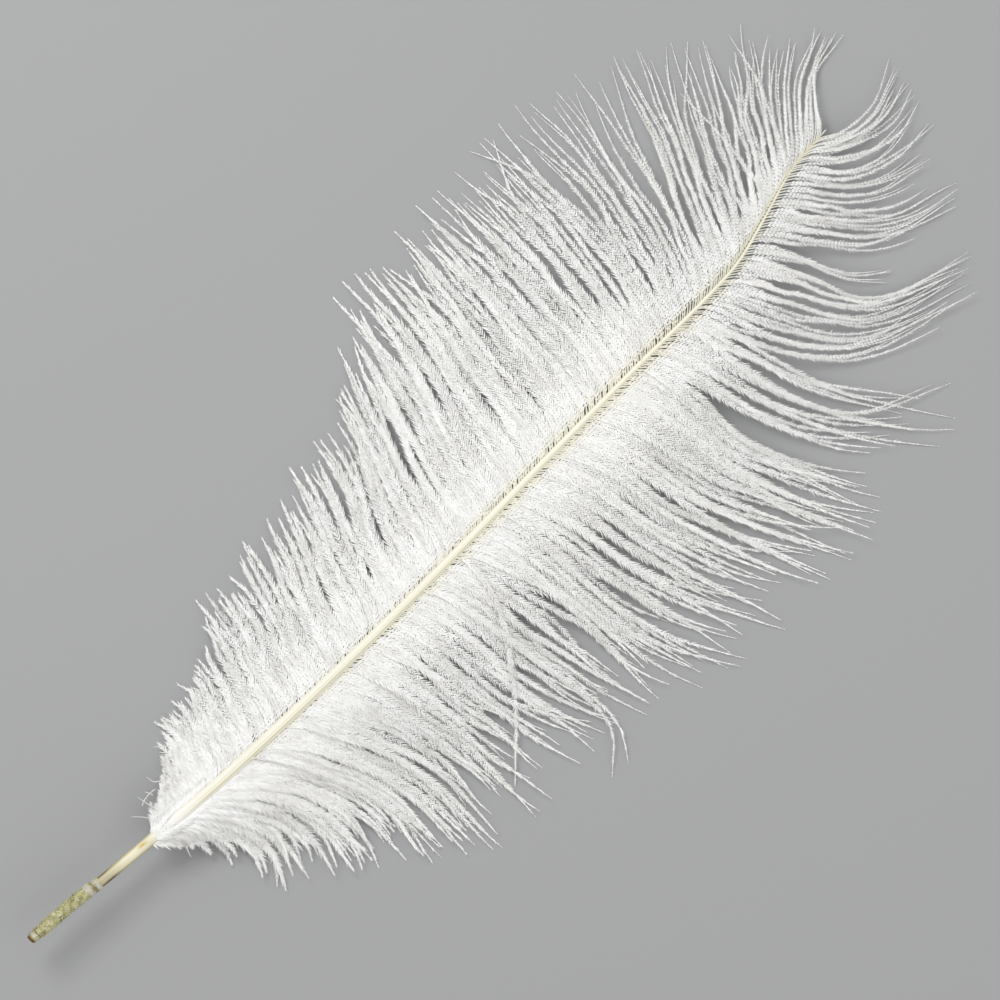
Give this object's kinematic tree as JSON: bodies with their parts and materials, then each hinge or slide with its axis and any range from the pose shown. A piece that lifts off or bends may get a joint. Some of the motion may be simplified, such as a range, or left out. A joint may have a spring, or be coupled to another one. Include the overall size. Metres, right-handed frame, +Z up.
{
  "type": "ostrich feather",
  "caption": "White ostrich plume lying flat: a bare quill with a scruffy dried sheath, an ivory shaft and two loose vanes of drooping fluffy barbs.",
  "frame": {"origin": "middle of the feather's box on X and Y, on the table that it lies on", "axes": "+X along the shaft from the quill to the tip, +Z up from the table, +Y to the left vane"},
  "size_m": [0.3563, 0.167, 0.0136],
  "materials": {
    "barbs": "soft matt white down, slightly warm",
    "shaft": "ivory horn with a satin sheen",
    "sheath": "dry flaking skin, pale olive to straw"
  },
  "bodies": {
    "root": {"feather": "barbs"}
  },
  "joints": []
}
